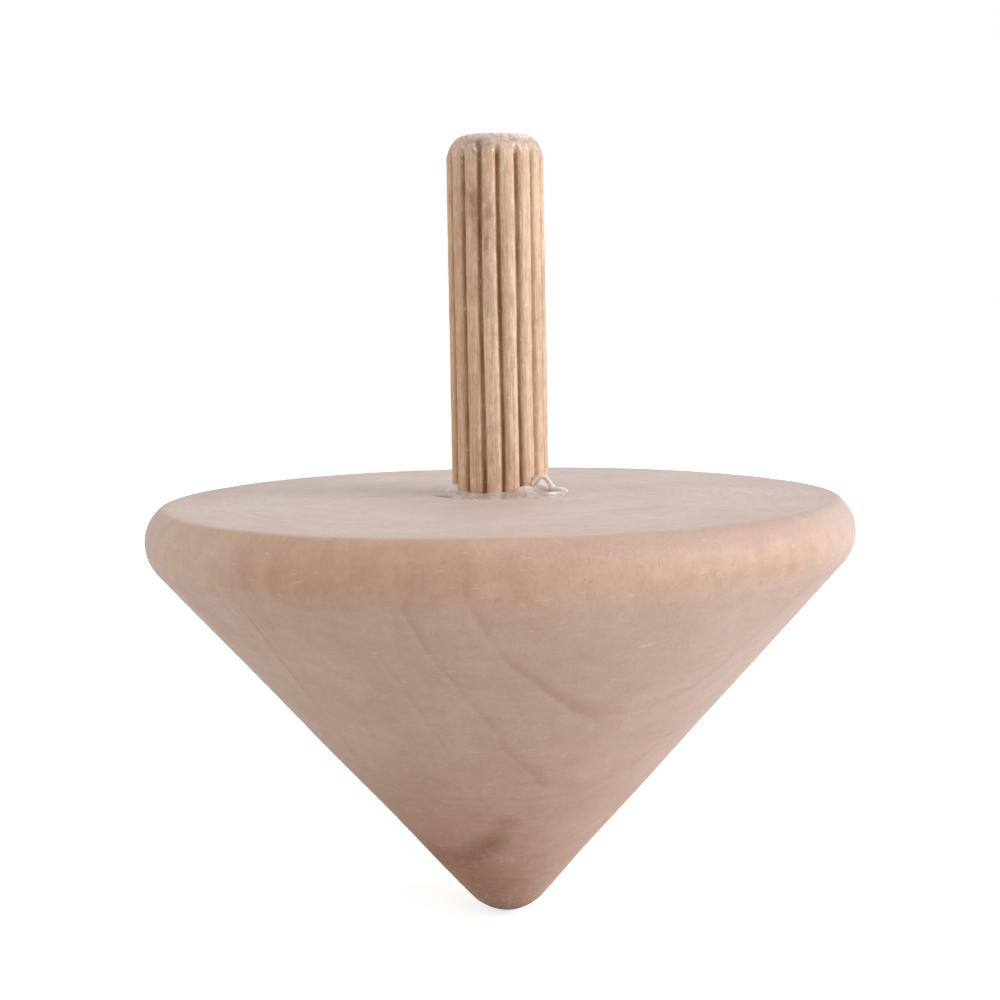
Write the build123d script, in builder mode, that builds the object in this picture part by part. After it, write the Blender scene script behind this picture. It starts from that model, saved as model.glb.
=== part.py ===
"""Wooden spinning top: a turned cone body with a fluted dowel glued into its flat face.

Millimetres, +Z up along the spin axis, origin at the tip that the top spins on. The driven end of the
dowel fills the bore, so cured glue is left only in the flutes and under the dowel, and the rest of it
was squeezed out into a bead round the place where the dowel enters the face.
"""

from build123d import *
from math import acos, cos, degrees, radians, sin, tan
import os

# Overall size
TOP_DIAMETER = 46.0
TOTAL_HEIGHT = 53.0

# Cone body
TIP_RADIUS = 3.6
CONE_ANGLE = 51.45  # slope of the flank above the floor, in degrees
LOWER_RIM_RADIUS = 2.55  # turns the flank into the widest line
UPPER_RIM_RADIUS = 2.6  # turns the widest line into the flat face
FACE_RADIUS = 21.93  # where the upper rim arc meets the flat face
FACE_EDGE_ROUNDING = 0.6

# Fluted dowel
DOWEL_DIAMETER = 6.5
DOWEL_LENGTH = 35.0
FLUTE_COUNT = 16
FLUTE_RADIUS = 0.235
FLUTE_DEPTH = 0.26
FLUTE_PHASE = -86.1  # direction of one flute about +Z, in degrees
DOWEL_CHAMFER_HEIGHT = 1.5
DOWEL_CHAMFER_WIDTH = 1.15
DOWEL_END_ROUNDING = 0.5

# Bore and glue
CREST_PRESS = 0.05  # how far the tight bore pressed the driven end's crests in
BORE_SPACE_BELOW = 0.8  # left under the dowel
DRILL_POINT_ANGLE = 118.0
BEAD_HEIGHT = 1.1
BEAD_RADIUS = 4.7
BEAD_HOLLOW_RADIUS = 2.4  # of the bead's concave surface
SOAK_DEPTH = 0.05  # how far the glue under the bead soaked into the face

# Derived sizes
top_radius = TOP_DIAMETER / 2
dowel_radius = DOWEL_DIAMETER / 2
bore_radius = dowel_radius - CREST_PRESS
slope = radians(CONE_ANGLE)
lower_rim_centre_r = top_radius - LOWER_RIM_RADIUS
upper_rim_centre_r = top_radius - UPPER_RIM_RADIUS
flank_end_r = lower_rim_centre_r + LOWER_RIM_RADIUS * sin(slope)
flank_end_z = TIP_RADIUS * (1 - cos(slope)) + (flank_end_r - TIP_RADIUS * sin(slope)) * tan(slope)
widest_z = flank_end_z + LOWER_RIM_RADIUS * cos(slope)
upper_rim_sweep = acos((FACE_RADIUS - upper_rim_centre_r) / UPPER_RIM_RADIUS)
face_z = widest_z + UPPER_RIM_RADIUS * sin(upper_rim_sweep)
bead_base_z = face_z - SOAK_DEPTH
bead_top_z = face_z + BEAD_HEIGHT
dowel_base_z = TOTAL_HEIGHT - DOWEL_LENGTH
bore_floor_z = dowel_base_z - BORE_SPACE_BELOW
drill_tip_z = bore_floor_z - bore_radius / tan(radians(DRILL_POINT_ANGLE / 2))
flute_centre_r = dowel_radius - FLUTE_DEPTH + FLUTE_RADIUS
flute_floor_r = dowel_radius - FLUTE_DEPTH


def bore_section(mouth_z):
    """Half section of the drilled bore, from its conical drill point up to mouth_z."""
    with BuildSketch(Plane.XZ) as section:
        with BuildLine():
            Polyline(
                (0, drill_tip_z),
                (bore_radius, bore_floor_z),
                (bore_radius, mouth_z),
                (0, mouth_z),
                close=True,
            )
        make_face()
    return section.sketch


# Cone body: one turned blank, its flank tangent to the ball tip and to the rounded rim
with BuildPart() as cone_body:
    with BuildSketch(Plane.XZ):
        with BuildLine():
            tip = CenterArc((0, TIP_RADIUS), TIP_RADIUS, -90, CONE_ANGLE)
            Line(tip @ 1, (flank_end_r, flank_end_z))
            CenterArc((lower_rim_centre_r, widest_z), LOWER_RIM_RADIUS, CONE_ANGLE - 90, 90 - CONE_ANGLE)
            upper_rim = CenterArc(
                (upper_rim_centre_r, widest_z), UPPER_RIM_RADIUS, 0, degrees(upper_rim_sweep)
            )
            Polyline(upper_rim @ 1, (0, face_z), (0, 0))
        make_face()
    revolve(axis=Axis.Z)
    face_edge = cone_body.edges().filter_by(GeomType.CIRCLE).sort_by(Axis.Z)[-1]
    fillet(face_edge, FACE_EDGE_ROUNDING)
    revolve(bore_section(face_z), axis=Axis.Z, mode=Mode.SUBTRACT)
    with BuildSketch(Plane.XY.offset(face_z)):
        Circle(BEAD_RADIUS)
    extrude(amount=-SOAK_DEPTH, mode=Mode.SUBTRACT)


# Fluted dowel: chamfered at both ends, its crests pressed in by the bore and easing out to full size
# over the height of the glue bead
with BuildPart() as fluted_dowel:
    with BuildSketch(Plane.XZ):
        with BuildLine():
            Polyline(
                (0, dowel_base_z),
                (dowel_radius - DOWEL_CHAMFER_WIDTH, dowel_base_z),
                (bore_radius, dowel_base_z + DOWEL_CHAMFER_HEIGHT),
                (bore_radius, face_z),
                (dowel_radius, bead_top_z),
                (dowel_radius, TOTAL_HEIGHT - DOWEL_CHAMFER_HEIGHT),
                (dowel_radius - DOWEL_CHAMFER_WIDTH, TOTAL_HEIGHT),
                (0, TOTAL_HEIGHT),
                close=True,
            )
        make_face()
    revolve(axis=Axis.Z)
    top_end_edges = fluted_dowel.edges().filter_by(GeomType.CIRCLE).sort_by(Axis.Z)[-2:]
    fillet(top_end_edges, DOWEL_END_ROUNDING)
    with BuildSketch(Plane.XY.offset(dowel_base_z)):
        with PolarLocations(flute_centre_r, FLUTE_COUNT, start_angle=FLUTE_PHASE):
            Circle(FLUTE_RADIUS)
    extrude(amount=DOWEL_LENGTH, mode=Mode.SUBTRACT)


# Glue bead: the squeezed-out ring on the face, which also fills the mouths of the flutes
with BuildPart() as glue_bead:
    with BuildSketch(Plane.XZ):
        with BuildLine():
            hollow = RadiusArc((BEAD_RADIUS, face_z), (dowel_radius, bead_top_z), BEAD_HOLLOW_RADIUS)
            Polyline(
                hollow @ 1,
                (flute_floor_r, bead_top_z),
                (flute_floor_r, bead_base_z),
                (BEAD_RADIUS, bead_base_z),
                hollow @ 0,
            )
        make_face()
    revolve(axis=Axis.Z)
    add(fluted_dowel.part, mode=Mode.SUBTRACT)


# Glue film: what stayed in the bore, as sixteen fillings of the flutes joined by a puddle underneath
with BuildPart() as glue_film:
    revolve(bore_section(bead_base_z), axis=Axis.Z)
    add(fluted_dowel.part, mode=Mode.SUBTRACT)


os.makedirs("parts", exist_ok=True)

cone_body.part.label = "cone_body"
export_step(cone_body.part, "parts/cone_body.step")

fluted_dowel.part.label = "fluted_dowel"
export_step(fluted_dowel.part, "parts/fluted_dowel.step")

glue_bead.part.label = "glue_bead"
export_step(glue_bead.part, "parts/glue_bead.step")

glue_film.part.label = "glue_film"
export_step(glue_film.part, "parts/glue_film.step")

print(f"face at {face_z:.3f} mm, widest line at {widest_z:.3f} mm")
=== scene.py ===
"""Looks of the wooden spinning top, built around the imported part.

Sizes are in millimetres, except that the lights, the floor and the camera are placed in metres.
"""
import math

import bpy
import numpy as np
from mathutils import Matrix, Vector


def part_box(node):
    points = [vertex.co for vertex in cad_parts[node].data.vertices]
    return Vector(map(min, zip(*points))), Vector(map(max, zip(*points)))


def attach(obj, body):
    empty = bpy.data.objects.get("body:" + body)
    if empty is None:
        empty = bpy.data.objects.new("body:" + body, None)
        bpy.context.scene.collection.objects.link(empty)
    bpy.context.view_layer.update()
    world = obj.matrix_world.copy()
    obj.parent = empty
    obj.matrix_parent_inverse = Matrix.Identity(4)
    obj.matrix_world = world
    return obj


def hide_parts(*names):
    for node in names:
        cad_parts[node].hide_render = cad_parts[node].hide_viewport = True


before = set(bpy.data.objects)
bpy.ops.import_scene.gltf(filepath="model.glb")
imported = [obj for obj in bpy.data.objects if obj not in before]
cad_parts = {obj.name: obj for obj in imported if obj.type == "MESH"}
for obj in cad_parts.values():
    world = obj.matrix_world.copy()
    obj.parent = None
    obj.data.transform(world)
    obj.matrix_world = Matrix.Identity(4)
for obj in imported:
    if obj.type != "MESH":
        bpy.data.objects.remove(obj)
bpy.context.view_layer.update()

MM = 0.001

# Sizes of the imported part
TOP_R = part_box("cone_body")[1].x / MM
FACE_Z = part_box("cone_body")[1].z / MM
DOWEL_BASE_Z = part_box("fluted_dowel")[0].z / MM
DOWEL_TOP_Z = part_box("fluted_dowel")[1].z / MM
DRILL_TIP_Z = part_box("glue_film")[0].z / MM

# Shape of the body's profile, as in the part
TIP_R = 3.6
SLOPE = math.radians(51.45)
LOWER_RIM_R = 2.55
UPPER_RIM_R = 2.6
FACE_EDGE_R = 0.6
BORE_R = 3.2
BORE_FLOOR_Z = DOWEL_BASE_Z - 0.8
DRILL_START = (0.3, DRILL_TIP_Z + 0.18)  # the first ring beside the tip of the drill point

# Surface of the turned wood
SKIN = 0.05  # mean distance inside the CAD surface
LEAST_SKIN = 0.004
FEED_WAVE = 0.004
SLOW_WAVE = 0.018
CHIP_DEPTH = 0.04

# Shape of the dowel
DOWEL_R = 3.25
FREE_R = 3.31  # over the crests just above the face
TAPER = 0.004  # how much smaller the radius gets for each mm upwards
CHAMFER_H = 1.5
BASE_CHAMFER_W = 1.1
END_CHAMFER_H = 1.30
END_CHAMFER_W = 0.60
END_ROUNDING_H = 0.20
END_ROUNDING_W = 0.17
FLUTES = 16
FLUTE_PHASE = math.radians(-86.1)
FLUTE_DEPTH = 0.19
FLUTE_HALF_WIDTH = 0.165
RIDGE_DROP = 0.20  # how far a ridge has fallen from its crest where it meets the flute
END_WEAR = 0.27  # how far the front of the free end is worn down
END_DENTS = [  # degrees from the front towards the right, distance below the end, width, height, depth
    (-17, 1.15, 0.30, 0.28, 0.16), (14, 0.55, 0.7, 0.30, 0.09), (38, 0.9, 0.5, 0.4, 0.07),
    (-45, 0.6, 0.6, 0.3, 0.08), (120, 0.7, 0.8, 0.4, 0.10), (205, 1.0, 0.5, 0.4, 0.09)]

# Shape of the squeezed-out glue
GLUE_INNER_R = 2.95
GLUE_CLIMB_R = 3.3  # outside this radius the glue that climbed up the dowel falls away
GLUE_CLIMB_FALL = 0.42  # over about this distance
GLUE_UNDERSIDE = 0.22  # below the face
GLUE_SPREAD = [  # degrees from the front towards the right, outer radius, height on the dowel, thickness
    (-180, 4.1, 0.35, 0.12), (-150, 3.9, 0.30, 0.10), (-120, 4.1, 0.35, 0.12), (-98, 3.9, 0.42, 0.12),
    (-82, 4.0, 0.62, 0.20), (-68, 4.1, 0.50, 0.18), (-54, 4.7, 0.20, 0.08), (-40, 4.8, 0.10, 0.06),
    (-22, 4.8, 0.12, 0.08), (-5, 5.0, 0.14, 0.10), (12, 5.3, 0.16, 0.11), (26, 5.6, 0.26, 0.16),
    (38, 5.6, 0.40, 0.20), (50, 5.5, 0.52, 0.22), (64, 5.1, 0.56, 0.22), (78, 4.7, 0.50, 0.18),
    (100, 4.5, 0.42, 0.14), (140, 4.3, 0.38, 0.12)]
GLUE_STRANDS = [  # points of angle, radius, height above the face, thickness
    [(38, 3.25, 0.55, 0.26), (43, 3.50, 1.08, 0.32), (49, 3.85, 1.20, 0.34), (51, 4.15, 0.82, 0.36),
     (51, 4.45, 0.36, 0.44), (52, 4.80, 0.24, 0.60), (54, 5.10, 0.18, 0.64), (56, 5.35, 0.04, 0.46)],
    [(-70, 4.90, -0.05, 0.12), (-58, 4.70, 0.0, 0.18), (-44, 4.55, 0.03, 0.22), (-30, 4.70, 0.0, 0.20),
     (-18, 4.90, -0.05, 0.14)],
    [(-64, 4.50, -0.04, 0.12), (-56, 4.20, 0.02, 0.17), (-46, 4.0, 0.04, 0.20), (-36, 4.0, 0.0, 0.14)],
    [(28, 4.9, 0.04, 0.18), (36, 5.2, 0.16, 0.30), (44, 5.3, 0.16, 0.32), (52, 5.2, 0.04, 0.22)]]
STRAND_STEPS = 60
STRAND_SIDES = 14
VOXEL = 0.055

# How finely the turned and fluted meshes are divided around
BODY_AROUND = 256
DOWEL_AROUND = FLUTES * 22

# Growth rings of the body, and single marks in its wood as paths of points
RING_NORMAL = (0.361, -0.827, -0.43)
RING_LINES = [  # place along the ring normal, strength
    (-31.8, 0.7), (-29.0, 0.5), (-27.3, 0.9), (-24.6, 0.6), (-22.4, 0.8), (-19.1, 0.5), (-16.4, 0.8),
    (-13.2, 0.6), (-10.4, 0.7), (-6.2, 0.4), (-0.95, 0.8), (3.79, 0.4), (5.39, 0.8), (6.96, 1.0),
    (10.8, 0.6), (13.3, 0.6)]
DARK_PATCH = [(-4.2, -4.6, 5.4), (-2.6, -5.0, 4.6), (-1.9, -4.1, 3.4), (-1.5, -3.2, 2.2)]
STREAK = [(-5.2, -3.6, 5.8), (-4.55, -4.48, 5.83), (-3.32, -5.98, 6.41), (-2.12, -6.84, 6.81),
          (-0.91, -8.45, 8.5)]
STREAK_END = [(-2.12, -6.84, 6.81), (-0.91, -8.45, 8.5), (-0.32, -9.33, 9.54), (0.12, -10.12, 10.53)]
RIM_DARK = [(-6.8, -21.6, 27.5), (-4.0, -22.3, 27.5)]
RIM_PALE = [(0.8, -22.8, 27.5), (5.5, -22.1, 27.5)]
RIM_MARK = [(-1.38, -22.70, 28.6), (-1.41, -22.92, 27.2)]
PALE_FLECK = [(7.0, -19.5, 23.8), (7.27, -19.36, 23.78), (7.55, -19.25, 23.9)]
BODY_MARKS = [  # path, how far it reaches, share, shade
    (DARK_PATCH, 4.2, 0.90, (150, 90, 46)), (STREAK, 1.5, 0.95, (142, 74, 34)),
    (STREAK_END, 1.1, 0.55, (144, 84, 50)), (RIM_DARK, 3.6, 0.32, (172, 132, 104)),
    (RIM_PALE, 5.0, 0.30, (216, 184, 158)), (RIM_MARK, 0.30, 0.28, (128, 88, 64)),
    (PALE_FLECK, 0.22, 0.50, (226, 208, 196))]
# Path of a painted shadow of the stem on the face, at the stem's front left.
STEM_SHADOW_PATH = [(-6.0, -4.5, FACE_Z), (-3.4, -8.5, FACE_Z), (-0.5, -9.0, FACE_Z)]

# Marks in the wood of the dowel
BLUSH = [(-1.82, -2.69, 49.4), (-1.33, -2.96, 48.2), (-0.5, -3.2, 46.9), (-0.35, -3.2, 45.6)]
KNOT = [(-0.95, -2.85, 52.0), (-1.05, -2.95, 51.6)]

# Studio, in metres, watts and radians
FLOOR_HALF = 3.0
LIGHT_AIM = (0, 0, 0.028)
LIGHTS = [  # name, place, size, power, colour
    ("key", (0.314, -0.086, 0.12), 0.30, 1.03, (0.99, 1.0, 1.07)),
    ("fill", (-0.32, -0.06, 0.13), 0.30, 0.24, (1, 1, 1)),
    ("top", (0.02, 0.02, 0.45), 0.45, 0.45, (1, 1, 1))]
CAMERA_PLACE = (-0.00002, -0.067, 0.03618)
CAMERA_DOWN = 0.106
CAMERA_LENS_MM = 35.42616
CAMERA_SHIFT_X = -0.0075
LEAN_ABOUT_Y = -0.017
LEAN_ABOUT_X = 0.002


# ---------------------------------------------------------------- mesh helpers

def smooth(x, low, high):
    """0 below low, 1 above high, and an S-curve between."""
    t = np.clip((np.asarray(x, float) - low) / (high - low), 0, 1)
    return t * t * (3 - 2 * t)


def random_field(seed, terms, most_turns, fastest):
    """A smooth random field of angle and length with unit spread, periodic in the angle."""
    rng = np.random.default_rng(seed)
    turns = rng.integers(0, most_turns + 1, terms)
    rates = rng.uniform(-fastest, fastest, terms)
    phases = rng.uniform(0, 2 * np.pi, terms)

    def field(angle, length):
        total = 0.0
        for m, k, p in zip(turns, rates, phases):
            total = total + np.cos(m * angle + k * length + p)
        return total / math.sqrt(terms / 2)

    return field


def full_turn(count):
    """Evenly spaced angles once around."""
    return np.linspace(0, 2 * np.pi, count, endpoint=False)


def ring_at(angle, radius, z):
    return np.stack([radius * np.cos(angle), radius * np.sin(angle), z + 0 * angle], axis=-1)


def arc(r, z, radius, start, end, count):
    """Points (r, z) on an arc; the angles are in radians."""
    a = np.linspace(start, end, count)
    return np.c_[r + radius * np.cos(a), z + radius * np.sin(a)]


def line(a, b, count):
    """Points (r, z) on a straight run."""
    t = np.linspace(0, 1, count)[:, None]
    return np.array(a) * (1 - t) + np.array(b) * t


def chain(*runs):
    """Runs of points put end to end, without the doubled points."""
    points = [runs[0]]
    for run in runs[1:]:
        points.append(run[1:])
    return np.vstack(points)


def add_object(name, data):
    obj = bpy.data.objects.new(name, data)
    bpy.context.scene.collection.objects.link(obj)
    return obj


def grid_faces(rows, around):
    """Quads between neighbouring rings, and triangles from the end rings to the two poles."""
    first, last = rows * around, rows * around + 1
    i = np.arange(rows - 1)[:, None] * around
    j = np.arange(around)[None, :]
    k = (j + 1) % around
    quads = np.stack([i + j, i + k, i + around + k, i + around + j], axis=-1).reshape(-1, 4)
    j, k = j[0], k[0]
    top = (rows - 1) * around
    faces = [tuple(q) for q in quads.tolist()]
    faces += [(first, int(b), int(a)) for a, b in zip(j, k)]
    faces += [(last, int(top + a), int(top + b)) for a, b in zip(j, k)]
    return faces


def grid_mesh(name, rings, start, end, attributes):
    """A closed mesh from rings (rows x around x 3, in mm) and a pole at each end."""
    rows, around = rings.shape[:2]
    verts = np.vstack([rings.reshape(-1, 3), [start], [end]]) * MM
    mesh = bpy.data.meshes.new(name)
    mesh.from_pydata(verts.tolist(), [], grid_faces(rows, around))
    for key, values in attributes.items():
        ends = [values[0].mean(), values[-1].mean()]
        layer = mesh.attributes.new(key, "FLOAT", "POINT")
        layer.data.foreach_set("value", np.r_[values.ravel(), ends].astype(np.float32))
    mesh.polygons.foreach_set("use_smooth", [True] * len(mesh.polygons))
    mesh.validate()
    mesh.update()
    return add_object(name, mesh)


# ---------------------------------------------------------------- node helpers

class Tree:
    """Writes a material's nodes as nested calls."""

    def __init__(self, name):
        self.material = bpy.data.materials.new(name)
        self.material.use_nodes = True
        self.nodes = self.material.node_tree.nodes
        self.links = self.material.node_tree.links
        self.shader = self.nodes["Principled BSDF"]

    def put(self, kind, values=None, **settings):
        """Makes a node; values are for its inputs, and may be sockets, and settings for its properties."""
        node = self.nodes.new(kind)
        for key, value in settings.items():
            setattr(node, key, value)
        for key, value in (values or {}).items():
            self.set(node.inputs[key], value)
        return node

    def set(self, socket, value):
        if isinstance(value, bpy.types.NodeSocket):
            self.links.new(value, socket)
        else:
            socket.default_value = value

    def math(self, operation, a, b=0.0):
        return self.put("ShaderNodeMath", {0: a, 1: b}, operation=operation).outputs[0]

    def add(self, *values):
        total = values[0]
        for value in values[1:]:
            total = self.math("ADD", total, value)
        return total

    def times(self, *values):
        total = values[0]
        for value in values[1:]:
            total = self.math("MULTIPLY", total, value)
        return total

    def without(self, mask, share=1.0):
        """1 where the mask is 0, falling to 1 - share where it is 1."""
        return self.math("SUBTRACT", 1.0, self.times(mask, share))

    def points(self):
        """Place on the object in mm."""
        place = self.put("ShaderNodeTexCoord").outputs["Object"]
        return self.put("ShaderNodeVectorMath", {0: place, "Scale": 1 / MM}, operation="SCALE").outputs[0]

    def split(self, vector):
        return self.put("ShaderNodeSeparateXYZ", {0: vector}).outputs

    def join(self, x, y, z):
        return self.put("ShaderNodeCombineXYZ", {0: x, 1: y, 2: z}).outputs[0]

    def dot(self, a, b):
        return self.put("ShaderNodeVectorMath", {0: a, 1: b}, operation="DOT_PRODUCT").outputs["Value"]

    def stretch(self, vector, factors):
        return self.put("ShaderNodeVectorMath", {0: vector, 1: factors}, operation="MULTIPLY").outputs[0]

    def attribute(self, name):
        return self.put("ShaderNodeAttribute", attribute_name=name).outputs["Fac"]

    def noise(self, vector, scale=1.0, detail=2.0, roughness=0.5, distortion=0.0):
        return self.put("ShaderNodeTexNoise", {
            "Vector": vector, "Scale": scale, "Detail": detail, "Roughness": roughness,
            "Distortion": distortion}).outputs["Fac"]

    def remap(self, value, low, high, to_low=0.0, to_high=1.0):
        """to_low where the value is low and to_high where it is high; low may be the greater one."""
        return self.put("ShaderNodeMapRange", {0: value, 1: low, 2: high, 3: to_low, 4: to_high}).outputs[0]

    def patches(self, vector, scale, detail, span, to=(0.0, 1.0), roughness=0.5):
        """Noise, remapped so that the values in span become those in to."""
        return self.remap(self.noise(vector, scale, detail, roughness), *span, *to)

    def blend(self, factor, a, b):
        node = self.put("ShaderNodeMix", data_type="RGBA")
        for index, value in ((0, factor), (6, a), (7, b)):
            self.set(node.inputs[index], value)
        return node.outputs[2]

    def paint(self, colour, shade, *masks):
        """Lays a shade, in display values, over a colour by the product of the masks."""
        return self.blend(self.times(*masks), colour, tone(*shade))

    def ramp(self, value, stops):
        node = self.put("ShaderNodeValToRGB", {0: value})
        elements = node.color_ramp.elements
        while len(elements) < len(stops):
            elements.new(0.5)
        for element, (position, level) in zip(elements, stops):
            element.position = position
            element.color = (level, level, level, 1)
        return node.outputs[0]

    def bump(self, height, distance_mm, strength):
        values = {"Height": height, "Distance": distance_mm * MM, "Strength": strength}
        return self.put("ShaderNodeBump", values).outputs[0]

    def finish(self, **sockets):
        for name, value in sockets.items():
            self.set(self.shader.inputs[name.replace("_", " ")], value)
        return self.material


def tone(red, green, blue):
    """A linear colour from 0-255 display values."""
    def linear(v):
        v /= 255
        return v / 12.92 if v <= 0.04045 else ((v + 0.055) / 1.055) ** 2.4
    return (linear(red), linear(green), linear(blue), 1.0)


# ---------------------------------------------------------------- turned body

def body_profile():
    """Half section of the body, from the tip over the rim and the face and down the bore."""
    lower_c = TOP_R - LOWER_RIM_R
    upper_c = TOP_R - UPPER_RIM_R
    tip_end = np.array([TIP_R * math.sin(SLOPE), TIP_R * (1 - math.cos(SLOPE))])
    flank_r = lower_c + LOWER_RIM_R * math.sin(SLOPE)
    flank_z = tip_end[1] + (flank_r - tip_end[0]) * math.tan(SLOPE)
    widest_z = flank_z + LOWER_RIM_R * math.cos(SLOPE)
    edge_z = FACE_Z - FACE_EDGE_R
    edge_r = upper_c + math.sqrt((UPPER_RIM_R - FACE_EDGE_R) ** 2 - (edge_z - widest_z) ** 2)
    turn = math.atan2(edge_z - widest_z, edge_r - upper_c)
    half = math.pi / 2

    tip = arc(0, TIP_R, TIP_R, -half, SLOPE - half, 20)[1:]
    flank = line(tip_end, (flank_r, flank_z), 150)
    lower = arc(lower_c, widest_z, LOWER_RIM_R, SLOPE - half, 0, 22)
    upper = arc(upper_c, widest_z, UPPER_RIM_R, 0, turn, 30)
    edge = arc(edge_r, edge_z, FACE_EDGE_R, turn, half, 10)
    face = line((edge_r, FACE_Z), (BORE_R, FACE_Z), 96)
    bore = line((BORE_R, FACE_Z), (BORE_R, BORE_FLOOR_Z), 26)
    drill = line((BORE_R, BORE_FLOOR_Z), DRILL_START, 6)

    to_widest = chain(tip, flank, lower)
    to_edge = chain(to_widest, upper)
    outside = chain(to_edge, edge, face)
    marks = {"widest": len(to_widest) - 1, "edge": len(to_edge) - 1, "face": len(outside) - 1}
    return chain(outside, bore, drill), marks


def turned_depth(a, s, edge_run):
    """How far the wood lies inside the CAD surface: feed marks, a slow sway and chips by the face's edge."""
    feed = random_field(11, 24, 2, 9.0)(a, s) * FEED_WAVE
    sway = random_field(12, 16, 5, 0.6)(a, s) * SLOW_WAVE
    near_edge = np.exp(-((s - edge_run) / 0.9) ** 2)
    chips = near_edge * np.clip(random_field(13, 30, 30, 1.0)(a, s) - 1.4, 0, 1) * CHIP_DEPTH
    return np.clip(SKIN - feed - sway, LEAST_SKIN, 1) + chips


def make_body():
    """The body, and how far along its profile the widest line, the face's edge and its inner end are."""
    points, marks = body_profile()
    step = np.gradient(points, axis=0)
    step /= np.linalg.norm(step, axis=1)[:, None]
    normal = np.c_[step[:, 1], -step[:, 0]]
    run = np.r_[0, np.cumsum(np.linalg.norm(np.diff(points, axis=0), axis=1))] + TIP_R * 0.05
    a, s = np.meshgrid(full_turn(BODY_AROUND), run)
    outside = (np.arange(len(points)) <= marks["face"])[:, None]
    faded = smooth(s, 0.4, 3.0) * smooth(run[marks["face"]] - s, 0.0, 0.6)
    depth = turned_depth(a, s, run[marks["edge"]]) * outside * faded
    r = points[:, 0][:, None] - depth * normal[:, 0][:, None]
    z = points[:, 1][:, None] - depth * normal[:, 1][:, None]
    body = grid_mesh("turned_body", ring_at(a, r, z), (0, 0, 0), (0, 0, DRILL_TIP_Z), {"run": s})
    return body, {key: float(run[index]) for key, index in marks.items()}


# ---------------------------------------------------------------- fluted dowel

def from_front(a, degrees_right):
    """Angle of a from a direction given in degrees from the front (-Y) towards the right (+X)."""
    return (a - math.radians(degrees_right - 90) + np.pi) % (2 * np.pi) - np.pi


def facing_front(a):
    """1 at the front (-Y), 0 at the back."""
    return 0.5 - 0.5 * np.sin(a)


def ridge_fall(off, half_pitch):
    """How far a rounded ridge has fallen from its crest, 0 to 1, at a place between two flutes."""
    from_crest = (half_pitch - np.abs(off)) / half_pitch
    return np.abs(from_crest) ** 2.2


def soft_least(a, b, radius):
    """The lesser of two radii, rounded where they cross."""
    h = np.clip(0.5 + 0.5 * (b - a) / radius, 0, 1)
    return b * (1 - h) + a * h - radius * h * (1 - h)


def shaft_radius(z):
    """Radius over the crests: pressed in by the bore, and tapering a little towards the free end."""
    free_radius = FREE_R - TAPER * (z - FACE_Z)
    return BORE_R + (free_radius - BORE_R) * smooth(z, FACE_Z - 0.1, FACE_Z + 0.5)


def dowel_envelope(a, z):
    """Radius over the crests with a chamfer at both ends and a small rounding at the free end."""
    uneven = random_field(27, 14, 5, 0.4)(a, z)
    depth = DOWEL_TOP_Z - z
    end = np.clip(1 - depth / (END_CHAMFER_H + 0.22 * facing_front(a) + 0.05 * uneven), 0, 1)
    chamfer = (END_CHAMFER_W + 0.04 * uneven) * end ** 1.5
    rounded = np.clip(1 - depth / END_ROUNDING_H, 0, 1)
    rounding = END_ROUNDING_W * (1 - np.sqrt(1 - rounded ** 2))
    base = 1 - np.clip((z - DOWEL_BASE_Z) / CHAMFER_H, 0, 1)
    return shaft_radius(z) - BASE_CHAMFER_W * base ** 1.3 - (chamfer + rounding)


def flute_spread():
    """How much deeper and how much wider than usual each flute is."""
    rng = np.random.default_rng(22)
    return rng.uniform(0.8, 1.15, FLUTES), rng.uniform(0.85, 1.25, FLUTES)


def flute_section(a, z, free):
    """How far the flutes and the ridges between them lie inside the crests."""
    wander = random_field(21, 12, 6, 0.35)(a, z) * 0.006 * free
    turn = (a - FLUTE_PHASE + wander) * FLUTES / (2 * np.pi)
    nearest = np.round(turn)
    flute = nearest.astype(int) % FLUTES
    off = (turn - nearest) * 2 * np.pi / FLUTES * DOWEL_R
    deeper, wider = (spread[flute] for spread in flute_spread())
    worn = 1 - 0.5 * np.exp(-(from_front(a, 62) / math.radians(20)) ** 2)
    core = np.exp(-np.abs(off / (FLUTE_HALF_WIDTH * wider)) ** 2.2)
    ridge = ridge_fall(off, math.pi * DOWEL_R / FLUTES) * (0.35 + 0.65 * free)
    runs_out = 1 - 0.62 * smooth(z, DOWEL_TOP_Z - 1.55, DOWEL_TOP_Z - 1.0)
    return (FLUTE_DEPTH * deeper * worn * core + RIDGE_DROP * ridge) * runs_out


def dowel_side(a, z):
    """Radius of the fluted side at angle a and height z, and how deep in a flute each place is."""
    free = smooth(z, FACE_Z - 0.2, FACE_Z + 0.6)
    section = flute_section(a, z, free)
    uneven = random_field(28, 40, 40, 2.2)(a, z) * 0.009 * free
    fibre = random_field(23, 40, 90, 0.5)(a, z) * 0.005 * free
    radius = soft_least(dowel_envelope(a, z), shaft_radius(z) - section + uneven, 0.05) + fibre
    return radius, np.clip(section / 0.3, 0, 1)


def end_dents(a, z):
    """Depth of the dents near the free end."""
    total = 0.0
    for turned, below, wide, tall, deep in END_DENTS:
        aside = from_front(a, turned) * 3.0 / wide
        total = total + deep * np.exp(-aside ** 2 - ((z - DOWEL_TOP_Z + below) / tall) ** 2)
    return total


def sawn_end(rim, angle):
    """Rings that close the free end from its rim inwards, with saw marks."""
    middle_z = DOWEL_TOP_Z - 0.01
    rings = []
    for share in np.linspace(1, 0.04, 16)[1:]:
        saw = np.minimum(random_field(26, 30, 9, 6.0)(angle, share) * 0.02 - 0.015, 0)
        ring = rim * (share, share, 0)
        ring[:, 2] = middle_z + (rim[:, 2] - middle_z) * share ** 2 + saw * (1 - share ** 6)
        rings.append(ring)
    return np.array(rings)


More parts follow.
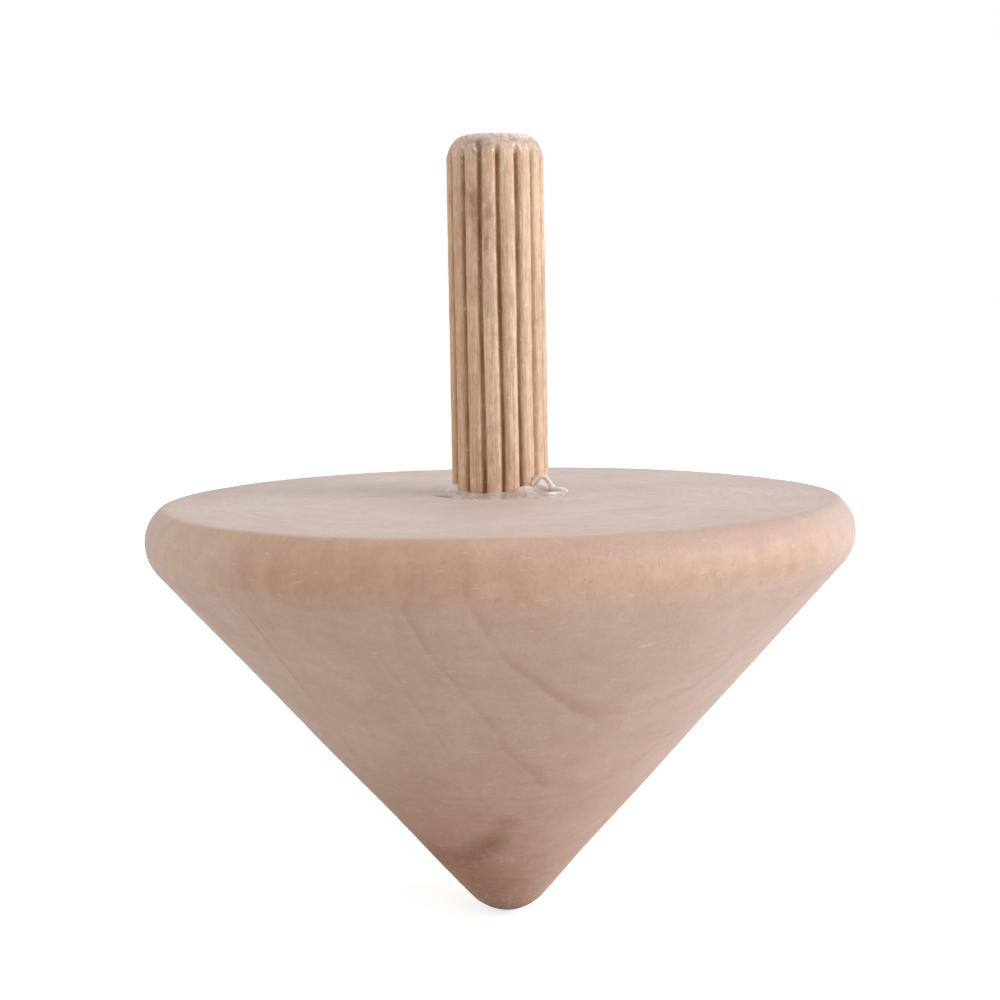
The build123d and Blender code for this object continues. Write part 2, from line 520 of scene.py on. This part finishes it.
def dowel_rows():
    """Heights of the rings, closest together at the free end."""
    neck_z = DOWEL_BASE_Z + CHAMFER_H
    chamfer_z = np.linspace(DOWEL_BASE_Z, neck_z, 8)
    bored_z = np.linspace(neck_z, FACE_Z - 0.2, 24)[1:-1]
    free_z = np.linspace(FACE_Z - 0.2, DOWEL_TOP_Z - CHAMFER_H - 0.5, 140)
    end_z = np.linspace(free_z[-1], DOWEL_TOP_Z - 0.02, 44)[1:]
    return np.r_[chamfer_z, bored_z, free_z, end_z]


def make_dowel():
    angle = full_turn(DOWEL_AROUND)
    a, z = np.meshgrid(angle, dowel_rows())
    radius, groove = dowel_side(a, z)
    torn = smooth(z, DOWEL_TOP_Z - 1.7, DOWEL_TOP_Z - 1.1)
    radius = radius + torn * random_field(25, 60, 26, 9.0)(a, z) * 0.016 - end_dents(a, z)
    worn = END_WEAR * facing_front(a) ** 2 * smooth(z, DOWEL_TOP_Z - 0.9, DOWEL_TOP_Z)
    side = ring_at(a, radius, z - worn)
    cap = sawn_end(side[-1], angle)
    depth = {"groove": np.vstack([groove * (1 - torn), np.zeros(cap.shape[:2])])}
    rings = np.concatenate([side, cap])
    return grid_mesh("stem_dowel", rings, (0, 0, DOWEL_BASE_Z), (0, 0, DOWEL_TOP_Z - 0.02), depth)


# ---------------------------------------------------------------- glue

def glue_curve(angle, column):
    """A smooth periodic curve through one column of GLUE_SPREAD."""
    at = np.array([row[0] for row in GLUE_SPREAD] + [GLUE_SPREAD[0][0] + 360], float)
    value = np.array([row[column] for row in GLUE_SPREAD] + [GLUE_SPREAD[0][column]], float)
    index = np.clip(np.searchsorted(at, angle, side="right") - 1, 0, len(at) - 2)
    t = smooth((angle - at[index]) / (at[index + 1] - at[index]), 0, 1)
    return value[index] * (1 - t) + value[index + 1] * t


def glue_ring():
    """The ring of glue as a closed loop of rows: its top from the dowel outwards, and its underside back."""
    angle = np.linspace(-180, 180, 360, endpoint=False)
    ragged = random_field(31, 14, 16, 0)(np.radians(angle), 0) * 0.10
    outer, height, body = (glue_curve(angle, column) for column in (1, 2, 3))
    a, t = np.meshgrid(angle, np.linspace(0, 1, 34))
    radius = GLUE_INNER_R + (outer + ragged - GLUE_INNER_R) * t
    climb = np.exp(-np.clip(radius - GLUE_CLIMB_R, 0, 9) / GLUE_CLIMB_FALL) * height
    lumps = body * (1 + 0.45 * random_field(32, 24, 12, 2.2)(np.radians(a), radius))
    top = climb * (1 - t ** 4) + np.clip(lumps, 0.02, 1) * (1 - t ** 2.5) - 0.07 * t ** 3
    x = radius * np.sin(np.radians(a))
    y = -radius * np.cos(np.radians(a))
    upper = np.stack([x, y, FACE_Z + top], axis=-1)
    lower = np.stack([x, y, np.full_like(x, FACE_Z - GLUE_UNDERSIDE)], axis=-1)[::-1]
    return np.concatenate([upper, lower])


def loop_faces(rows, around):
    """Quads between neighbouring rows, where the last row meets the first again."""
    faces = []
    for i in range(rows):
        n = (i + 1) % rows
        for j in range(around):
            k = (j + 1) % around
            faces.append((i * around + j, n * around + j, n * around + k, i * around + k))
    return faces


def strand_route(strand):
    """Smoothed points along a strand, and its thickness at each."""
    table = np.array(strand, float)
    t = np.linspace(0, len(table) - 1, STRAND_STEPS)
    columns = [np.interp(t, np.arange(len(table)), table[:, c]) for c in range(4)]
    for _ in range(2):
        padded = [np.r_[c[:1].repeat(3), c, c[-1:].repeat(3)] for c in columns]
        columns = [np.convolve(c, np.ones(7) / 7, "valid") for c in padded]
    a, radius, height, thick = columns
    a = np.radians(a)
    return np.c_[radius * np.sin(a), -radius * np.cos(a), FACE_Z + height], thick


def add_strand(verts, faces, strand):
    """Adds one strand of glue as a closed tube."""
    route, thick = strand_route(strand)
    along = np.gradient(route, axis=0)
    along /= np.linalg.norm(along, axis=1)[:, None]
    side = np.cross(along, (0, 0, 1.0))
    side /= np.linalg.norm(side, axis=1)[:, None]
    up = np.cross(side, along)
    base = len(verts)
    for p, s, u, d in zip(route, side, up, thick):
        for q in full_turn(STRAND_SIDES):
            verts.append((p + (s * math.cos(q) + u * math.sin(q)) * d / 2).tolist())
    for i in range(len(route) - 1):
        for j in range(STRAND_SIDES):
            k = (j + 1) % STRAND_SIDES
            low, high = base + i * STRAND_SIDES, base + (i + 1) * STRAND_SIDES
            faces.append((low + j, high + j, high + k, low + k))
    last = base + (len(route) - 1) * STRAND_SIDES
    faces.append(tuple(base + j for j in range(STRAND_SIDES)))
    faces.append(tuple(last + j for j in reversed(range(STRAND_SIDES))))


def melt_together(obj):
    """Joins the overlapping closed shapes of a mesh into one soft closed surface."""
    join = obj.modifiers.new("join", "REMESH")
    join.mode = "VOXEL"
    join.voxel_size = VOXEL * MM
    soften = obj.modifiers.new("soften", "SMOOTH")
    soften.iterations = 3
    soften.factor = 0.5
    graph = bpy.context.evaluated_depsgraph_get()
    melted = bpy.data.meshes.new_from_object(obj.evaluated_get(graph))
    obj.modifiers.clear()
    obj.data = melted
    melted.polygons.foreach_set("use_smooth", [True] * len(melted.polygons))


def make_squeezed_glue():
    ring = glue_ring()
    verts = ring.reshape(-1, 3).tolist()
    faces = loop_faces(*ring.shape[:2])
    for strand in GLUE_STRANDS:
        add_strand(verts, faces, strand)
    mesh = bpy.data.meshes.new("glue_squeeze_out")
    mesh.from_pydata((np.array(verts) * MM).tolist(), [], faces)
    mesh.update()
    glue = add_object("glue_squeeze_out", mesh)
    melt_together(glue)
    return glue


def make_bore_glue():
    """The glue that fills the flutes inside the bore and the space under the dowel."""
    angle = full_turn(DOWEL_AROUND)
    mouth_z = FACE_Z - 0.06
    wall_r = BORE_R - 0.01
    cone = line(DRILL_START, (wall_r, BORE_FLOOR_Z), 6)
    wall = line((wall_r, BORE_FLOOR_Z), (wall_r, mouth_z), 40)
    rings = [ring_at(angle, r + 0 * angle, z) for r, z in chain(cone, wall)]
    for z in np.linspace(mouth_z, DOWEL_BASE_Z, 44):
        dowel_r = dowel_side(angle, z + 0 * angle)[0]
        rings.append(ring_at(angle, np.minimum(dowel_r, BORE_R - 0.05), z))
    rim = rings[-1]
    rings += [rim * (share, share, 1) for share in (0.75, 0.45, 0.15)]
    return grid_mesh("glue_in_bore", np.array(rings), (0, 0, DRILL_TIP_Z), (0, 0, DOWEL_BASE_Z), {})


# ---------------------------------------------------------------- marks shared by the woods

def ring_lines(t, u, sharp, fade):
    """1 on each growth-ring line along u, rising over sharp mm before it and fading over fade mm after it."""
    total = None
    for part in (RING_LINES[:9], RING_LINES[9:]):
        low, high = part[0][0] - 2.0, part[-1][0] + 2.0
        span = high - low
        stops = [(0.0, 0.0)]
        for place, strength in part:
            at = (place - low) / span
            stops += [(at - sharp / span, 0.0), (at, strength), (at + fade / span, 0.0)]
        lines = t.ramp(t.remap(u, low, high), stops)
        total = lines if total is None else t.math("MAXIMUM", total, lines)
    return total


def near_path(t, p, path, reach):
    """1 on a path of points in mm, falling to 0 at reach from it."""
    nearest = None
    for a, b in zip(path, path[1:]):
        a, b = Vector(a), Vector(b)
        run = b - a
        from_a = t.put("ShaderNodeVectorMath", {0: p, 1: a}, operation="SUBTRACT").outputs[0]
        share = t.math("DIVIDE", t.dot(from_a, run), run.length_squared)
        share = t.math("MINIMUM", t.math("MAXIMUM", share, 0.0), 1.0)
        along = t.put("ShaderNodeVectorMath", {0: run, "Scale": share}, operation="SCALE").outputs[0]
        away = t.put("ShaderNodeVectorMath", {0: from_a, 1: along}, operation="DISTANCE").outputs["Value"]
        nearest = away if nearest is None else t.math("MINIMUM", nearest, away)
    return t.remap(nearest, reach, 0.0)


# ---------------------------------------------------------------- wood of the body

def body_zones(t, p, run, marks):
    """Masks of the flat face, of the rim between face and flank, and of the rim's upper part weighted towards
    the right for a painted sheen.
    """
    x = t.split(p)[0]
    edge = t.add(run, t.patches(p, 0.6, 2.0, (0.2, 0.8), (-0.35, 0.35)))
    on_face = t.remap(run, marks["edge"] + 0.1, marks["edge"] + 0.75)
    above_flank = t.remap(edge, marks["widest"] - 1.3, marks["widest"] - 0.35)
    on_rim = t.times(above_flank, t.without(on_face))
    # Upper rim, rising towards the right: partly the face's pinkish grey, mostly a painted sheen of the key
    # light.
    rim_top_sheen = t.times(t.remap(edge, marks["widest"] + 0.7, marks["widest"] + 1.6), on_rim,
                      t.remap(x, -4.0, 9.0, 0.15, 1.0))
    return on_face, on_rim, rim_top_sheen


def flank_colour(t, p, mottle, blotch):
    """Pinkish wood, browner towards the tip and most of all at its front left, with a painted sheen paler
    towards the right.
    """
    x, y, z = t.split(p)
    colour = t.blend(mottle, tone(204, 175, 160), tone(192, 162, 136))
    colour = t.paint(colour, (183, 150, 129), blotch, 0.45)
    low = t.times(t.remap(z, 20.0, 2.0, 0.0, 0.88), t.remap(x, -0.8, 2.8, 1.0, 0.5))
    colour = t.paint(colour, (173, 126, 92), low, t.remap(blotch, 0, 1, 0.85, 1.0))
    # Painted sheen: paler towards the right, the side the key light comes from.
    colour = t.paint(colour, (208, 180, 170), t.remap(x, 1.0, 10.0, 0.0, 0.30))
    front_left = t.times(t.remap(x, 4.0, -5.0), t.remap(z, 17.0, 6.0), t.remap(y, 2.0, -2.0))
    return t.paint(colour, (158, 106, 70), front_left, 0.68)


def rim_colour(t, p, mottle, blotch, rim_top_sheen):
    """Yellower wood in upright patches, pinkish grey with a painted sheen on its upper part towards the
    right, and a painted sheen paler towards both ends of the rim.
    """
    x = t.split(p)[0]
    upright = t.patches(t.stretch(p, (0.75, 0.75, 0.35)), 0.95, 1.0, (0.38, 0.62))
    colour = t.blend(mottle, tone(204, 169, 145), tone(187, 149, 121))
    colour = t.paint(colour, (211, 175, 146), upright, 0.65)
    colour = t.paint(colour, (180, 141, 114), blotch, 0.4)
    # Painted sheen on the upper rim, strongest at the right, over the face's pinkish grey.
    colour = t.paint(colour, (191, 163, 150), rim_top_sheen, 0.85)
    # Painted sheen at the rim's left and right ends, stronger on the right.
    ends = t.remap(t.math("ABSOLUTE", t.add(x, -1.5)), 13.5, 22.0)
    return t.paint(colour, (214, 194, 182), ends, t.remap(x, -5.0, 5.0, 0.5, 0.85))


def face_colour(t, p, run, edge_run, mottle, blotch):
    """Pale wood, a little darker along the edge, with a painted shadow of the stem at its front left."""
    colour = t.blend(mottle, tone(218, 200, 192), tone(208, 189, 179))
    colour = t.paint(colour, (192, 170, 159), blotch, 0.30)
    colour = t.paint(colour, (196, 170, 150), t.remap(run, edge_run + 5.5, edge_run + 0.8), 0.32)
    # Painted shadow of the stem, broken into patches, at the front left of the stem.
    stem_shadow_patches = t.patches(p, 0.5, 2.0, (0.3, 0.6), (0.2, 0.5))
    return t.paint(colour, (184, 160, 148), near_path(t, p, STEM_SHADOW_PATH, 5.5), stem_shadow_patches)


def growth_rings(t, p, colour, on_face, on_rim):
    """Rings as lines on parallel wavy planes, each with a soft shade after it; also returns the lines."""
    x, _, z = t.split(p)
    u = t.add(t.dot(p, RING_NORMAL), t.patches(p, 0.12, 2.0, (0.2, 0.8), (-0.2, 0.2)),
              t.patches(p, 0.8, 1.0, (0.2, 0.8), (-0.05, 0.05)))
    visible = t.times(t.without(on_face, 0.65), t.without(on_rim, 0.8),
                      t.remap(x, 3.0, 12.0, 1.0, 0.5), t.remap(z, 11.0, 15.0, 0.35, 1.0))
    strength = t.times(t.patches(p, 0.22, 2.0, (0.36, 0.62), (0.25, 1.0)), visible)
    colour = t.paint(colour, (176, 138, 124), ring_lines(t, u, 0.05, 1.5), strength, 0.27)
    lines = t.times(ring_lines(t, u, 0.06, 0.22), strength, 0.40)
    colour = t.paint(colour, (128, 88, 64), lines)
    along_u = t.join(t.times(u, 0.55), 0.0, 0.0)
    grade = t.patches(along_u, 1.0, 1.0, (0.35, 0.65), (0.0, 0.14))
    return t.paint(colour, (166, 130, 106), grade, t.without(on_face)), lines


def tinted(t, p, colour):
    """Small yellowish and pinkish patches."""
    tint = t.noise(p, 1.9, 3.0, 0.7)
    colour = t.paint(colour, (192, 160, 122), t.remap(tint, 0.52, 0.68, 0.0, 0.26))
    return t.paint(colour, (200, 164, 154), t.remap(tint, 0.48, 0.32, 0.0, 0.22))


def marked(t, p, colour):
    """The single marks that are listed in BODY_MARKS, with ragged edges."""
    ragged = t.patches(p, 2.2, 2.0, (0.3, 0.65), (0.55, 1.0))
    for path, reach, share, shade in BODY_MARKS:
        colour = t.paint(colour, shade, near_path(t, p, path, reach), ragged, share)
    return colour


def darkened_tip(t, p, colour):
    """Darker, browner patches and pale grit on the tip, with the darkest band a little above the ground."""
    z = t.split(p)[2]
    tip_dark = t.times(t.remap(z, 1.7, 0.95), t.patches(p, 2.6, 3.0, (0.3, 0.6), (0.5, 1.0), 0.7))
    colour = t.paint(colour, (104, 88, 64), tip_dark, 0.55)
    band = t.times(t.remap(z, 1.25, 0.95), t.remap(z, 0.15, 0.75, 0.35, 1.0))
    colour = t.paint(colour, (72, 60, 46), band, 0.65)
    grit = t.times(t.remap(z, 4.0, 2.4), t.patches(p, 7.0, 2.0, (0.56, 0.66)))
    return t.paint(colour, (226, 206, 176), grit, 0.5)


def curled_fibres(t, p, colour, on_face):
    """Thin curled lines, some dark and some pale, strongest near the tip; also returns their mask."""
    z = t.split(p)[2]
    off_middle = t.math("ABSOLUTE", t.math("SUBTRACT", t.noise(p, 0.75, 3.0, 0.55, 0.8), 0.5))
    curls = t.times(t.remap(off_middle, 0.016, 0.004), t.patches(p, 0.9, 2.0, (0.46, 0.60)),
                    t.without(on_face))
    shade = t.blend(t.patches(p, 0.55, 1.0, (0.47, 0.53)), tone(138, 100, 78), tone(224, 200, 184))
    return t.blend(t.times(curls, t.remap(z, 24.0, 6.0, 0.16, 0.34)), colour, shade), curls


def fine_grain(t, p, run, colour, on_face):
    """Fine marks of turning, dust, dashes, specks and pores; also returns their height and the turning."""
    x, y, _ = t.split(p)
    around = t.join(t.times(x, 0.16), t.times(y, 0.16), run)
    turning = t.noise(around, 3.2, 3.0, 0.6)
    off_face = t.without(on_face)
    colour = t.paint(colour, (146, 112, 92), t.remap(turning, 0.3, 0.7, 0.0, 0.06), t.without(on_face, 0.9))
    colour = t.paint(colour, (168, 146, 136), t.remap(turning, 0.35, 0.65, 0.0, 0.12), on_face)
    dust = t.patches(p, 4.2, 3.0, (0.3, 0.7), (0.0, 0.22), 0.75)
    colour = t.paint(colour, (158, 126, 108), dust)
    dashes = t.patches(t.stretch(around, (1.5, 1.5, 1.0)), 6.5, 1.0, (0.69, 0.79))
    colour = t.paint(colour, (226, 206, 192), dashes, 0.26)
    specks = t.patches(t.stretch(around, (3.0, 3.0, 1.0)), 5.2, 1.0, (0.28, 0.19))
    colour = t.paint(colour, (130, 96, 74), specks, 0.20)
    pores = t.patches(t.stretch(p, (1, 1, 0.22)), 7.5, 1.0, (0.36, 0.27))
    colour = t.paint(colour, (146, 110, 88), pores, off_face, 0.12)
    waves = t.add(t.times(turning, 0.25), t.times(t.noise(around, 9.0, 2.0), 0.15))
    height = t.add(t.times(waves, t.without(on_face, 0.9)), t.times(dashes, 0.3), t.times(pores, -0.3),
                   t.times(dust, 1.2))
    return colour, height, turning


def body_wood(marks):
    t = Tree("cone_wood")
    p = t.points()
    run = t.attribute("run")
    mottle = t.patches(t.stretch(p, (1, 1, 0.7)), 0.23, 3.0, (0.36, 0.64), roughness=0.6)
    blotch = t.patches(p, 0.8, 2.0, (0.35, 0.65), roughness=0.6)
    on_face, on_rim, rim_top_sheen = body_zones(t, p, run, marks)
    colour = t.blend(on_rim, flank_colour(t, p, mottle, blotch), rim_colour(t, p, mottle, blotch, rim_top_sheen))
    colour = t.blend(on_face, colour, face_colour(t, p, run, marks["edge"], mottle, blotch))
    colour, lines = growth_rings(t, p, colour, on_face, on_rim)
    colour = darkened_tip(t, p, marked(t, p, tinted(t, p, colour)))
    colour, curls = curled_fibres(t, p, colour, on_face)
    colour, height, turning = fine_grain(t, p, run, colour, on_face)
    height = t.add(height, t.times(curls, 0.3), t.times(lines, -0.6), t.times(blotch, 0.15))
    return t.finish(Base_Color=colour, Roughness=t.remap(turning, 0.3, 0.7, 0.44, 0.56),
                    Specular_IOR_Level=0.5, Sheen_Weight=0.10, Sheen_Roughness=0.45,
                    Normal=t.bump(height, 0.035, 0.5))


# ---------------------------------------------------------------- wood of the dowel

def fibrous_colour(t, p, fibre, patch, lumps):
    """Straw-coloured wood in long streaks, with darker and paler threads and lumps."""
    streak = t.patches(t.stretch(p, (1, 1, 0.09)), 0.9, 3.0, (0.36, 0.64))
    thread = t.noise(t.stretch(p, (1, 1, 0.03)), 11.0, 2.0, 0.6)
    colour = t.blend(streak, tone(232, 202, 168), tone(212, 176, 144))
    colour = t.paint(colour, (182, 138, 101), t.remap(fibre, 0.38, 0.7, 0.0, 0.5))
    colour = t.paint(colour, (190, 144, 116), t.remap(patch, 0.5, 0.68, 0.0, 0.5))
    colour = t.paint(colour, (170, 128, 96), t.remap(thread, 0.54, 0.70, 0.0, 0.35))
    colour = t.paint(colour, (246, 226, 198), t.remap(thread, 0.46, 0.32, 0.0, 0.40))
    colour = t.paint(colour, (178, 132, 100), t.remap(lumps, 0.52, 0.66, 0.0, 0.35))
    return t.paint(colour, (238, 214, 186), t.remap(lumps, 0.46, 0.34, 0.0, 0.30))


def shaft_stains_and_shade(t, p, colour):
    """A reddish blush near the free end, flutes darkened partly by pressed wood and partly by painted shade,
    a browner left side of painted shade, and a duller right side of painted shade that dims the key light.
    """
    x = t.split(p)[0]
    blush = t.times(near_path(t, p, BLUSH, 1.5), t.patches(t.stretch(p, (1, 1, 0.5)), 2.2, 3.0, (0.4, 0.65)))
    colour = t.paint(colour, (158, 102, 78), blush, 0.75)
    # Darker flutes: partly pressed, darker wood and partly painted shade in the recesses.
    in_flutes = t.remap(t.attribute("groove"), 0.38, 1.0, 0.0, 0.86)
    flute_stain_and_shade = t.patches(t.stretch(p, (1, 1, 0.25)), 1.3, 2.0, (0.35, 0.6), (0.55, 1.0))
    colour = t.paint(colour, (132, 84, 50), in_flutes, flute_stain_and_shade)
    # Painted shade: browner on the left, the side away from the key light.
    colour = t.paint(colour, (176, 126, 86), t.remap(x, -0.8, -3.0, 0.0, 0.30))
    # Painted shade: duller on the right, toning down where the key light falls.
    return t.paint(colour, (184, 146, 112), t.remap(x, 0.4, 2.2, 0.0, 0.22))


def frayed_end(t, p, colour, fuzz, end):
    """Whitish wood on the chamfer, palest along its edge, with one dark knot and frayed fibres below."""
    z = t.split(p)[2]
    whitish = t.blend(t.remap(fuzz, 0.35, 0.65), tone(173, 144, 129), tone(212, 188, 175))
    colour = t.blend(t.times(end, 0.8), colour, whitish)
    edge = t.remap(z, DOWEL_TOP_Z - 0.62, DOWEL_TOP_Z - 0.35)
    colour = t.paint(colour, (232, 219, 213), edge, t.remap(fuzz, 0.36, 0.54), 0.75)
    knot = t.times(near_path(t, p, KNOT, 0.42), t.patches(p, 6.0, 2.0, (0.40, 0.55)))
    colour = t.paint(colour, (104, 74, 56), knot, 0.9)
    below_end = t.times(t.remap(z, DOWEL_TOP_Z - 2.1, DOWEL_TOP_Z - 1.5),
                        t.remap(z, DOWEL_TOP_Z - 0.8, DOWEL_TOP_Z - 1.2))
    fray = t.patches(t.stretch(p, (1, 1, 0.6)), 3.6, 3.0, (0.54, 0.66), roughness=0.7)
    return t.paint(colour, (244, 228, 212), below_end, fray, 0.7)


def end_grain(t, p):
    """The sawn end: year rings in nearly straight lines, and pores."""
    across = t.add(t.dot(p, (0.8, 0.6, 0.0)), t.patches(p, 0.5, 1.0, (0.2, 0.8), (-0.5, 0.5)))
    year = t.patches(t.join(t.times(across, 3.0), 0.0, 0.0), 1.0, 1.0, (0.4, 0.6))
    colour = t.blend(year, tone(214, 186, 162), tone(186, 152, 126))
    return t.paint(colour, (150, 112, 86), t.patches(p, 6.0, 1.0, (0.40, 0.30)), 0.5)


def dowel_wood():
    t = Tree("dowel_wood")
    p = t.points()
    z = t.split(p)[2]
    fibre = t.noise(t.stretch(p, (1, 1, 0.05)), 5.5, 4.0, 0.65)
    patch = t.noise(t.stretch(p, (1, 1, 0.45)), 0.8, 3.0, 0.6)
    lumps = t.noise(t.stretch(p, (1, 1, 0.5)), 3.0, 3.0, 0.7)
    fuzz = t.noise(p, 3.0, 4.0, 0.7)
    flecks = t.patches(t.stretch(p, (1, 1, 0.4)), 6.0, 1.0, (0.68, 0.76))
    end = t.remap(z, DOWEL_TOP_Z - 1.6, DOWEL_TOP_Z - 0.95)
    on_cut = t.remap(z, DOWEL_TOP_Z - 0.16, DOWEL_TOP_Z - 0.06)
    colour = shaft_stains_and_shade(t, p, fibrous_colour(t, p, fibre, patch, lumps))
    colour = t.paint(colour, (246, 231, 212), flecks, 0.38)
    colour = frayed_end(t, p, colour, fuzz, end)
    colour = t.blend(t.times(on_cut, 0.9), colour, end_grain(t, p))
    height = t.add(t.times(fibre, 0.8), t.times(flecks, 0.2), t.times(fuzz, end, 0.8), t.times(patch, 0.2),
                   t.times(lumps, 0.5))
    return t.finish(Base_Color=colour, Roughness=t.remap(fibre, 0.3, 0.7, 0.5, 0.68),
                    Specular_IOR_Level=0.45, Normal=t.bump(height, 0.06, 0.8))


# ---------------------------------------------------------------- glue and floor materials

def cured_glue():
    """Clear glue over wood: dull pinkish where it is thin, creamy in the thick strands, glossy all over."""
    t = Tree("cured_glue")
    p = t.points()
    cloud = t.noise(p, 1.8, 3.0)
    ripple = t.noise(p, 3.0, 3.0, 0.6)
    thick = t.remap(t.split(p)[2], FACE_Z + 0.10, FACE_Z + 0.50)
    thin_glue = t.blend(t.remap(cloud, 0.35, 0.65), tone(190, 166, 155), tone(216, 197, 188))
    colour = t.paint(thin_glue, (244, 231, 222), thick, 0.8)
    return t.finish(Base_Color=colour, Roughness=t.remap(cloud, 0.3, 0.7, 0.03, 0.10),
                    Transmission_Weight=0.12, IOR=1.5, Specular_IOR_Level=0.8,
                    Normal=t.bump(ripple, 0.10, 0.6))


def studio_floor():
    """Pale paper that the camera sees a little brighter than it lights the object."""
    t = Tree("studio_floor")
    paper = t.patches(t.points(), 0.4, 2.0, (0.3, 0.7))
    seen = t.put("ShaderNodeLightPath").outputs["Is Camera Ray"]
    colour = t.blend(paper, (0.80, 0.80, 0.80, 1), (0.815, 0.813, 0.81, 1))
    return t.finish(Base_Color=colour, Roughness=0.9, Emission_Color=(1, 1, 1, 1),
                    Emission_Strength=t.remap(seen, 0, 1, 0.0, 0.62))


# ---------------------------------------------------------------- studio

def make_floor():
    corners = [(x * FLOOR_HALF, y * FLOOR_HALF, 0) for x, y in ((-1, -1), (1, -1), (1, 1), (-1, 1))]
    mesh = bpy.data.meshes.new("floor")
    mesh.from_pydata(corners, [], [(0, 1, 2, 3)])
    mesh.materials.append(studio_floor())
    add_object("floor", mesh)


def soft_light(name, place, size, watts, colour):
    light = bpy.data.lights.new(name, "AREA")
    light.shape = "DISK"
    light.size = size
    light.energy = watts
    light.color = colour
    obj = add_object(name, light)
    obj.location = place
    obj.rotation_euler = (Vector(LIGHT_AIM) - Vector(place)).to_track_quat("-Z", "Y").to_euler()
    obj.visible_camera = False


def make_world():
    """A white world that the camera sees brighter than it lights the object."""
    world = bpy.data.worlds.new("studio")
    world.use_nodes = True
    nodes, links = world.node_tree.nodes, world.node_tree.links
    background = nodes["Background"]
    background.inputs["Color"].default_value = (1, 1, 1, 1)
    ray = nodes.new("ShaderNodeLightPath")
    level = nodes.new("ShaderNodeMapRange")
    level.inputs["To Min"].default_value = 0.58
    level.inputs["To Max"].default_value = 1.0
    links.new(ray.outputs["Is Camera Ray"], level.inputs["Value"])
    links.new(level.outputs[0], background.inputs["Strength"])
    bpy.context.scene.world = world


def make_camera():
    """A close camera a little above the face, tilted down, that sees the top lean by about one degree."""
    camera = bpy.data.cameras.new("camera")
    camera.sensor_width = 36.0
    camera.lens = CAMERA_LENS_MM
    camera.shift_x = CAMERA_SHIFT_X
    camera.clip_start = 0.002
    camera.clip_end = 20.0
    lean = Matrix.Rotation(LEAN_ABOUT_Y, 4, "Y") @ Matrix.Rotation(LEAN_ABOUT_X, 4, "X")
    pose = Matrix.Translation(CAMERA_PLACE) @ Matrix.Rotation(math.pi / 2 - CAMERA_DOWN, 4, "X")
    obj = add_object("camera", camera)
    obj.matrix_world = lean.inverted() @ pose
    bpy.context.scene.camera = obj


# ---------------------------------------------------------------- scene

body, body_marks = make_body()
glue_material = cured_glue()
for piece, material, slot, node in (
    (body, body_wood(body_marks), "cone_wood", "cone_body"),
    (make_dowel(), dowel_wood(), "dowel_wood", "fluted_dowel"),
    (make_squeezed_glue(), glue_material, "glue", "glue_bead"),
    (make_bore_glue(), glue_material, "glue", "glue_film"),
):
    piece.data.materials.append(material)
    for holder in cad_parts[node].material_slots:
        holder.material = material
    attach(piece, "root")
    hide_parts(node)

make_floor()
make_world()
for light in LIGHTS:
    soft_light(*light)
make_camera()
bpy.context.scene.view_settings.view_transform = "Standard"
